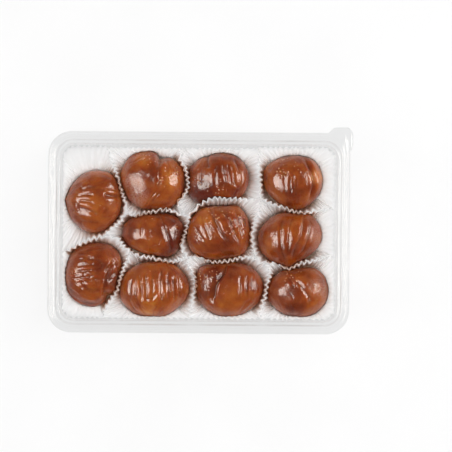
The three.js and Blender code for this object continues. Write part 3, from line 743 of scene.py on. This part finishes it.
class Profile:
    """How far a chestnut's surface reaches at any bearing and height."""

    def __init__(self, points, at):
        x, y = points[:, 0] - at[0], points[:, 1] - at[1]
        row = (np.arctan2(y, x) / (2 * math.pi) * PROFILE_TURNS).astype(int) % PROFILE_TURNS
        column = np.clip(points[:, 2] / PROFILE_STEP, 0, PROFILE_LEVELS - 1).astype(int)
        table = np.zeros((PROFILE_TURNS, PROFILE_LEVELS))
        np.maximum.at(table, (row, column), np.hypot(x, y))
        for axis in (0, 1):
            table = np.max([np.roll(table, step, axis) for step in (-1, 0, 1)], axis=0)
        self.table = table

    def reach(self, bearing, height):
        row = bearing / (2 * math.pi) * PROFILE_TURNS - 0.5
        column = np.clip(height / PROFILE_STEP - 0.5, 0, PROFILE_LEVELS - 2)
        first_row, first_column = np.floor(row).astype(int), np.floor(column).astype(int)
        total = 0
        for right, up in itertools.product((0, 1), repeat=2):
            near = np.abs(1 - right - (row - first_row)) * np.abs(1 - up - (column - first_column))
            total = total + near * self.table[(first_row + right) % PROFILE_TURNS, first_column + up]
        return total


def paper_case(number, profile):
    """Points and faces of a fluted paper case around its chestnut."""
    nut = NUTS[number]
    bearing = even_bearings(number, CASE_POINTS)
    flute, shared, rise = flutes(number, bearing)
    flute *= WALL_FLUTES + (1 - WALL_FLUTES) * shared
    rim = space(number, bearing, CASE_TOP) - FLUTE_DEPTH[0] / 2 * WALL_FLUTES * (1 - shared)

    x, y = np.cos(bearing), np.sin(bearing)

    def ring(reach, height):
        return np.stack([nut.at[0] + reach * x, nut.at[1] + reach * y, height], 1)

    edge_places = ring(rim, np.full(CASE_POINTS, CASES_APART * number))
    top = CASE_TOP + rise + uneven(edge_places, *EDGE_WAVES)
    floor_room = mix(CASE_BASE_SHARE, shared) * space(number, bearing, CASE_BOTTOM)
    base = np.minimum(mix(CASE_BASE, shared), floor_room)
    gap = rim - profile.reach(bearing, nut.belly)
    pressed = np.exp(-((gap / TIGHT) ** 2)) * mix(PRESSED_SHARES, shared)
    steep = mix(STEEP_SHARES, np.exp(-((gap / STEEP) ** 2)))
    outer, inner, stains_and_shade, painted_lights, painted_shades = [], [], [], [], []
    for share in CASE_SHARES:
        height = CASE_BOTTOM + share * (top - CASE_BOTTOM)
        swing = mix(FLUTE_DEPTH, share ** FLUTE_FADE) / 2 * flute
        opened = share ** mix(OPENING, shared * steep)
        free = base + (rim - LIP - base) * opened + LIP * share ** LIP_SHORTNESS + swing
        limit = space(number, bearing, height) + shared * swing
        flesh_reach = profile.reach(bearing, height) + SLACK + PAPER
        reach = np.maximum(np.minimum(free, limit), flesh_reach)
        # syrup stain near the chestnut: partly a real stain, partly painted shade, stronger where the
        # case is pressed
        soaked_and_shaded = np.exp(-(((reach - flesh_reach) / STAIN_AND_SHADE_REACH) ** 2)) * (flesh_reach > FLESH_LEAST)
        stains_and_shade.append(soaked_and_shaded * mix(STAIN_AND_SHADE_SHARES, pressed))
        # painted light on the upper edge
        painted_lights.append(np.full(CASE_POINTS, share ** PAINTED_LIGHT_FADE))
        # painted shade, darker low on the case and where it is pressed
        painted_shades.append((1 - share) * mix(PAINTED_SHADE_SHARES, pressed))
        outer.append(ring(reach, height))
        inner.append(ring(reach - PAPER, height + (PAPER if share == 0 else 0)))
    points, faces = skin(np.array(outer + inner[::-1]))
    # The last two points are the middles of the underside and of the floor.
    # deep carries painted shade, edge painted light, and the stain layer a syrup stain that is partly
    # painted shade
    layers = {"stain_and_shade": (stains_and_shade, 1.0), "edge": (painted_lights, 0.0), "deep": (painted_shades, 1.0)}
    return points, faces, {name: np.concatenate([*values, *values[::-1], [middle, middle]])
                           for name, (values, middle) in layers.items()}


# ---- the shape of the tray

def tray_bend(corners):
    """A profile with its corners rounded."""
    line = [np.array(corners[0])]
    for before, here, after in zip(corners, corners[1:], corners[2:]):
        before, here, after = map(np.array, (before, here, after))
        back, on = before - here, after - here
        start = here + back * min(BEND_SHARE, BEND_CUT / np.linalg.norm(back))
        end = here + on * min(BEND_SHARE, BEND_CUT / np.linalg.norm(on))
        for t in np.linspace(0, 1, BEND_STEPS):
            line.append((1 - t) ** 2 * start + 2 * t * (1 - t) * here + t * t * end)
    line.append(np.array(corners[-1]))
    return np.array(line)


def tray_course():
    """The way round the tray: which corner's centre each point belongs to and the way it faces."""
    corners, turns = [], []
    signs = ((1, 1), (-1, 1), (-1, -1), (1, -1))
    for number, sign in enumerate(signs):
        turn = (number + np.arange(CORNER_STEPS + 1) / CORNER_STEPS) * math.pi / 2
        steps = LONG_STEPS if number % 2 == 0 else SHORT_STEPS
        share = np.arange(1, steps) / steps
        after = np.array(signs[(number + 1) % 4])
        corners += [np.tile(sign, (CORNER_STEPS + 1, 1)), sign + share[:, None] * (after - sign)]
        turns += [turn, np.full(steps - 1, turn[-1])]
    return np.concatenate(corners).astype(float), np.concatenate(turns)


def tab_reach(turn):
    """How far the tab's outline lies from the centre of the rim's corner, towards each way."""
    centre = np.array([TRAY_LENGTH / 2, TRAY_WIDTH / 2]) - RIM_CORNER
    corners = np.array(TAB_OUTLINE) - centre
    bearings = np.arctan2(corners[:, 1], corners[:, 0])[::-1]
    reach = np.full(len(turn), RIM_CORNER)
    for start, end in zip(corners, corners[1:]):
        way = end - start
        across = np.cos(turn) * way[1] - np.sin(turn) * way[0]
        meet = (start[0] * way[1] - start[1] * way[0]) / np.where(np.abs(across) < 1e-9, 1e-9, across)
        low, high = sorted((math.atan2(end[1], end[0]), math.atan2(start[1], start[0])))
        reach = np.where((turn >= low) & (turn <= high) & (meet > RIM_CORNER), meet, reach)
    return reach


def tray():
    """Points and faces of the tray."""
    top, half = TRAY_HEIGHT - SHEET / 2, SHEET / 2
    ledge = top - LEDGE_DROP
    # How far in from the rim's outline and how high the middle of the sheet runs.
    lip = [(half, top - 3.0), (0.9, top)]
    groove_in_rim = [(1.9, top), (2.3, top - 0.5), (2.9, top - 0.5), (3.3, top), (4.4, top)]
    step = [(5.0, ledge), (6.3, ledge)]
    wall = [(WALL_TOP_INSET, ledge - 1.2), (WALL_FOOT_INSET, WALL_FOOT_HEIGHT)]
    bead = [(9.5, half), (10.6, half)]
    panel = [(11.6, FLOOR_PANEL - half), (14.0, FLOOR_PANEL - half)]
    corners = lip + groove_in_rim + step + wall + bead + panel
    profile = tray_bend(corners)
    way = np.gradient(profile, axis=0)
    way /= np.linalg.norm(way, axis=1, keepdims=True)
    off = np.stack([-way[:, 1], way[:, 0]], 1) * half  # to the side of the tray's inner, upper face
    corner, turn = tray_course()
    extra = tab_reach(turn) - RIM_CORNER

    def ring(inset, height):
        radius = RIM_CORNER - CORNER_LOSS * inset
        straight = np.array([TRAY_LENGTH, TRAY_WIDTH]) / 2 - inset - radius
        tab = extra * float(1 - smooth_step(*TAB_INSETS, inset))
        reach = (radius + tab)[:, None]
        flat = corner * straight + reach * np.stack([np.cos(turn), np.sin(turn)], 1)
        lift = np.clip(extra / TAB_LIP, 0, 1) * TAB_LIP_RISE * max(0, top - height) * (inset < TAB_LIP)
        return np.column_stack([flat, height + lift])

    outer = [ring(*place) for place in (profile - off)[::-1]]
    inner = [ring(*place) for place in profile + off]
    return skin(np.array(outer + inner))


# ---- materials

# Colours, in ramps with their positions.
FLESH = (
    (0.0, (0.112, 0.0118, 0.0012)),
    (0.3, (0.215, 0.0355, 0.0033)),
    (0.6, (0.330, 0.076, 0.0075)),
    (1.0, (0.500, 0.175, 0.0230)),
)
# whitish sugar bloom, partly painted sheen on the dull patches where broad highlights fall
SUGAR_BLOOM_AND_SHEEN = (0.56, 0.34, 0.26)
# lighter specks on the blisters and rough patches: partly sugar, partly painted glints
SUGAR_BLISTER_AND_GLINT = (0.74, 0.36, 0.17)
PAPER_WHITES = ((0.25, (0.84, 0.815, 0.80)), (0.75, (0.89, 0.87, 0.86)))
PAPER_PAINTED_SHADE = (0.82, 0.61, 0.51)  # painted shade low on a case, warm where chestnuts colour the light
# painted light that brightens each case's upper edge
PAPER_PAINTED_LIGHT = (0.99, 0.985, 0.98)
# syrup stain near each chestnut: partly a real stain, partly painted shade and chestnut colour in the
# crevices
PAPER_STAIN_AND_SHADE = (0.52, 0.27, 0.175)
CLEAR_TINTS_AND_SHADE = ((0.0, (0.938, 0.940, 0.940)), (1.0, (0.90, 0.90, 0.90)))  # face on and edge on: partly the sheet's own grey, partly painted shade that greys the rim
CLEAR_SHINE = (0.95, 0.95, 0.95, 1)
TABLE_GREYS = ((0.3, (0.22, 0.22, 0.22)), (0.7, (0.24, 0.24, 0.24)))


class Shader:
    """The nodes of a material or a world, made and joined in few words."""

    def __init__(self, owner):
        self.owner = owner
        owner.use_nodes = True
        self.tree = owner.node_tree
        self.tree.nodes.clear()
        self.places = self.node("TexCoord", {}).outputs

    def node(self, kind, inputs, **settings):
        """A new node. inputs gives sockets, by name or number, a value or the socket to join them to."""
        made = self.tree.nodes.new("ShaderNode" + kind)
        for key, value in settings.items():
            setattr(made, key, value)
        for key, value in inputs.items():
            if isinstance(value, bpy.types.NodeSocket):
                self.tree.links.new(value, made.inputs[key])
            else:
                made.inputs[key].default_value = value
        return made

    def layer(self, name):
        return self.node("Attribute", {}, attribute_name=name).outputs["Fac"]

    def texture(self, kind, size, **inputs):
        """A texture with lumps of about size, in millimetres."""
        fixed = {"Vector": self.places["Object"], "Scale": 1 / (size * MM)}
        return self.node(kind, {**fixed, **inputs}).outputs

    def noise(self, size, detail=3.0, rough=0.5):
        return self.texture("TexNoise", size, Detail=detail, Roughness=rough)["Fac"]

    def blisters(self, size):
        """Small round blisters, 1 in their middle and 0 between them, with some left out."""
        cells = self.texture("TexVoronoi", size)
        dome = self.span(cells["Distance"], 0.10, 0.36, 1.0, 0.0)
        return self.sum((dome, self.span(cells["Color"], 0.4, 0.5)))

    def sum(self, *parts):
        """A sum of sockets, each given alone or with its factor."""
        total = 0.0
        for part in parts:
            source, factor = part if isinstance(part, tuple) else (part, 1.0)
            inputs = {0: source, 1: factor, 2: total}
            total = self.node("Math", inputs, operation="MULTIPLY_ADD").outputs[0]
        return total

    def span(self, value, low, high, start=0.0, end=1.0):
        """value's stretch from low to high, laid over start to end."""
        inputs = {"Value": value, "From Min": low, "From Max": high, "To Min": start, "To Max": end}
        return self.node("MapRange", inputs).outputs[0]

    def ramp(self, value, *stops):
        """Colours over value, each given with its position."""
        made = self.node("ValToRGB", {0: value})
        elements = made.color_ramp.elements
        while len(elements) < len(stops):
            elements.new(0.5)
        for element, (position, colour) in zip(elements, stops):
            element.position = position
            element.color = (*colour, 1)
        return made.outputs["Color"]

    def blend(self, share, first, second):
        """A socket's colour where share is 0 and a fixed second one where it is 1."""
        return self.node("Mix", {0: share, 6: first, 7: (*second, 1)}, data_type="RGBA").outputs[2]

    def bump(self, height, depth, strength=1.0):
        """A bump of the given depth in millimetres."""
        inputs = {"Height": height, "Distance": depth * MM, "Strength": strength}
        return self.node("Bump", inputs).outputs[0]

    def principled(self, **sockets):
        inputs = {name.replace("_", " "): value for name, value in sockets.items()}
        return self.node("BsdfPrincipled", inputs).outputs[0]

    def finish(self, surface, output="OutputMaterial"):
        self.node(output, {"Surface": surface})
        return self.owner


def candied_flesh():
    """Chestnut flesh soaked in syrup, darker in its folds with painted shade, under a glaze whose dull
    patches are partly sugar bloom, partly painted sheen.
    """
    s = Shader(bpy.data.materials.new("candied_flesh"))
    painted_crease_shade, tone, dull_bloom_and_painted_sheen, rough, calm = map(s.layer, ("painted_crease_shade", "tone", "dull_bloom_and_painted_sheen", "rough", "calm"))
    cloud, grain = s.noise(4.5, 3), s.noise(0.9, 3, 0.6)
    # painted shade darkens the folds and wrinkles
    tone = s.sum(tone, (cloud, 0.5), (grain, 0.12), (painted_crease_shade, -0.3))
    colour = s.ramp(s.span(tone, 0.2, 1.5), *FLESH)
    # whitish sugar bloom over the flesh, partly painted sheen on the dull patches
    bloom_and_sheen = s.sum((s.span(s.noise(0.8, 3, 0.7), 0.35, 0.6), dull_bloom_and_painted_sheen))
    colour = s.blend(s.sum((bloom_and_sheen, 0.5)), colour, SUGAR_BLOOM_AND_SHEEN)
    roughness = s.sum((s.span(grain, 0.3, 0.7), 0.1), (dull_bloom_and_painted_sheen, 0.25), (rough, 0.05), 0.24)
    ripples = s.noise(1.6, 3, 0.55)
    blisters = s.blisters(1.7)
    # lighter specks on blisters and rough patches: partly sugar, partly painted glints
    colour = s.blend(s.span(s.sum((blisters, rough)), 0.1, 0.6, 0.0, 0.75), colour, SUGAR_BLISTER_AND_GLINT)
    height = s.sum((ripples, 0.9), (grain, 0.3), (blisters, s.sum((rough, 1.5), 0.05)))
    normal = s.bump(s.sum((height, s.span(calm, 0.0, 1.0, 1.0, 0.4))), 0.3, 0.75)
    return s.finish(s.principled(
        Base_Color=colour, Roughness=roughness, Normal=normal, Coat_Normal=normal, IOR=1.45,
        Subsurface_Weight=0.85, Subsurface_Scale=0.005, Subsurface_Radius=(1.0, 0.35, 0.12),
        Coat_Weight=s.sum(1.0, (dull_bloom_and_painted_sheen, -0.5)), Coat_Roughness=0.10, Coat_IOR=1.53,
        Specular_IOR_Level=0.12,
    ))


def fluted_paper():
    """Thin white greaseproof paper, with painted shade low on each case, painted light on its upper edge,
    and a syrup stain near each chestnut that is partly painted shade.
    """
    s = Shader(bpy.data.materials.new("fluted_paper"))
    fibres, cloud, crumple = s.noise(0.5, 4, 0.65), s.noise(9, 2), s.noise(2.4, 3)
    colour = s.ramp(s.sum((fibres, 0.5), (cloud, 0.5)), *PAPER_WHITES)
    # painted shade low on each case, warm from the chestnuts' colour
    colour = s.blend(s.span(s.layer("deep"), 0.04, 0.5, 0.0, 0.85), colour, PAPER_PAINTED_SHADE)
    # painted light on each case's upper edge
    colour = s.blend(s.layer("edge"), colour, PAPER_PAINTED_LIGHT)
    # the syrup stain, partly painted shade in the crevices beside a chestnut
    colour = s.blend(s.layer("stain_and_shade"), colour, PAPER_STAIN_AND_SHADE)
    normal = s.bump(s.sum((fibres, 0.3), (crumple, 0.9)), 0.15, 0.5)
    roughness = s.span(fibres, 0.3, 0.7, 0.7, 0.9)
    return s.finish(s.principled(
        Base_Color=colour, Roughness=roughness, Normal=normal, IOR=1.4, Specular_IOR_Level=0.35,
        Subsurface_Weight=0.85, Subsurface_Scale=0.0006, Subsurface_Radius=(1.0, 0.96, 0.92),
    ))


def clear_sheet():
    """Thin clear plastic sheet, which lets most light through and mirrors more when seen edge on; its
    grey tint is partly painted shade.
    """
    s = Shader(bpy.data.materials.new("clear_sheet"))
    flow, dust = s.noise(14, 2), s.noise(0.8, 3)
    normal = s.bump(s.sum((flow, 0.8), (dust, 0.05)), 0.25, 0.35)
    roughness = s.span(dust, 0.3, 0.7, 0.05, 0.14)
    facing = s.node("LayerWeight", {"Blend": 0.5}).outputs["Facing"]
    edge_on = s.node("Math", {0: facing, 1: 3.5}, operation="POWER").outputs[0]
    share = s.sum((edge_on, 0.28), 0.028)
    # the grey tint is partly painted shade
    clear = s.node("BsdfTransparent", {"Color": s.ramp(facing, *CLEAR_TINTS_AND_SHADE)}).outputs[0]
    shine = s.principled(Base_Color=CLEAR_SHINE, Roughness=roughness, Normal=normal, Metallic=1.0)
    return s.finish(s.node("MixShader", {0: share, 1: clear, 2: shine}).outputs[0])


def table_top():
    """A smooth white studio table that is lit from below."""
    s = Shader(bpy.data.materials.new("table_top"))
    cloud = s.noise(60, 2)
    return s.finish(s.principled(
        Base_Color=s.ramp(cloud, *TABLE_GREYS), Roughness=s.span(cloud, 0.3, 0.7, 0.85, 0.95),
        Normal=s.bump(s.noise(2, 3), 0.02, 0.3), Specular_IOR_Level=0.1,
        Emission_Color=(1, 1, 1, 1), Emission_Strength=TABLE_GLOW,
    ))


# ---- camera, lamps and table

def add_camera():
    """The camera, which looks straight down and sees the tray's middle at its own pixel."""
    data = bpy.data.cameras.new("camera")
    camera = add_object("camera", data)
    right = (IMAGE_SIDE / 2 - TRAY_MIDDLE_PIXEL[0]) * PIXEL
    up = (TRAY_MIDDLE_PIXEL[1] - IMAGE_SIDE / 2) * PIXEL
    camera.location = Vector((*(VIEW_AXES @ (right, up)), TRAY_HEIGHT + VIEW_DISTANCE)) * MM
    camera.rotation_euler = (0, 0, VIEW_TURN)
    data.sensor_width = SENSOR
    data.lens = SENSOR * VIEW_DISTANCE / (IMAGE_SIDE * PIXEL)
    data.clip_end = VIEW_LIMIT
    bpy.context.scene.camera = camera


def add_lamp(name, lean, bearing, side, brightness, lights):
    """A square lamp over the tray's middle, for the "shine" or the "body" of the surfaces."""
    data = bpy.data.lights.new(name, "AREA")
    data.shape = "SQUARE"
    data.size = side * MM
    data.energy = brightness * math.pi * data.size ** 2
    data.color = WARM if lights == "shine" else (1, 1, 1)
    lamp = add_object(name, data)
    lean, bearing = math.radians(lean), math.radians(bearing)
    off = math.sin(lean)
    way = Vector((off * math.cos(bearing), off * math.sin(bearing), math.cos(lean)))
    lamp.location = way * LAMP_DISTANCE * MM
    lamp.rotation_euler = way.to_track_quat("Z", "Y").to_euler()
    lamp.visible_glossy = lights == "shine"
    lamp.visible_diffuse = lights == "body"


def add_studio():
    """Soft light from all around, which fades towards straight above."""
    s = Shader(bpy.data.worlds.new("studio"))
    height = s.node("SeparateXYZ", {0: s.places["Generated"]}).outputs["Z"]
    brightness = s.span(height, *SKY_HEIGHTS, *SKY_BRIGHTNESSES)
    light = s.node("Background", {"Color": (1, 1, 1, 1), "Strength": brightness}).outputs[0]
    scene = bpy.context.scene
    scene.world = s.finish(light, "OutputWorld")
    scene.view_settings.view_transform = "Standard"
    scene.cycles.transparent_max_bounces = CLEAR_LAYERS


def add_table():
    mesh = bpy.data.meshes.new("table")
    corners = [(-1, -1), (1, -1), (1, 1), (-1, 1)]
    points = [(x * TABLE_HALF * MM, y * TABLE_HALF * MM, TABLE_LEVEL * MM) for x, y in corners]
    mesh.from_pydata(points, [], [range(4)])
    mesh.materials.append(table_top())
    table = add_object("table", mesh)


add_camera()
for lamp_name, settings in LAMPS.items():
    add_lamp(lamp_name, *settings)
add_studio()
add_table()

# ---- the pieces

add_piece("clear_tray", "tray", "clear_plastic", *tray(), clear_sheet())
paper = fluted_paper()
flesh = candied_flesh()
ball_points, ball_faces = ball(BALL_STEPS)
for number, nut in enumerate(NUTS):
    label = number + 1
    points, layers = chestnut(number, ball_points)
    wrapping, wrapping_faces, wrapping_layers = paper_case(number, Profile(points, nut.at))
    add_piece(f"paper_case_{label}", f"case_{label}", "white_paper",
              wrapping, wrapping_faces, paper, wrapping_layers)
    add_piece(f"candied_chestnut_{label}", f"chestnut_{label}", "candied_chestnut",
              points, ball_faces, flesh, layers)
